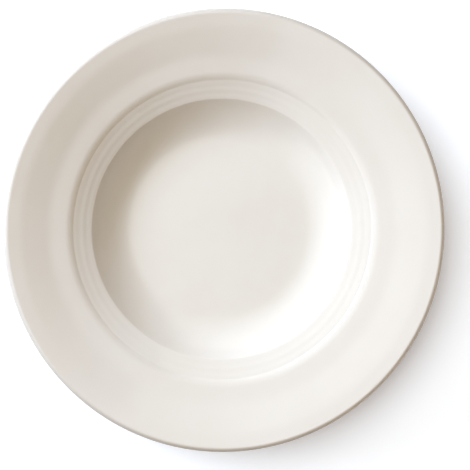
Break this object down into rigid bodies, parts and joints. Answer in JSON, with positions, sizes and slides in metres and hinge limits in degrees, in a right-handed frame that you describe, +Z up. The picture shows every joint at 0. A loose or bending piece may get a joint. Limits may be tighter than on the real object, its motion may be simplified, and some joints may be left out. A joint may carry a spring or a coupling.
{
  "type": "rimmed soup plate",
  "caption": "Round soup plate with a wide sloping rim, a stepped shoulder, a rounded well and a foot ring, in an off-white glaze.",
  "frame": {"origin": "on the table, at the centre of the foot ring", "axes": "+Z up along the axis the plate is turned about; X and Y lie level in any direction"},
  "size_m": [0.24, 0.24, 0.0379],
  "materials": {
    "clay": "matte",
    "glaze": "gloss"
  },
  "bodies": {
    "root": {"clay_body": "clay", "glaze_coat": "glaze", "foot_recess_glaze": "glaze"}
  },
  "joints": []
}
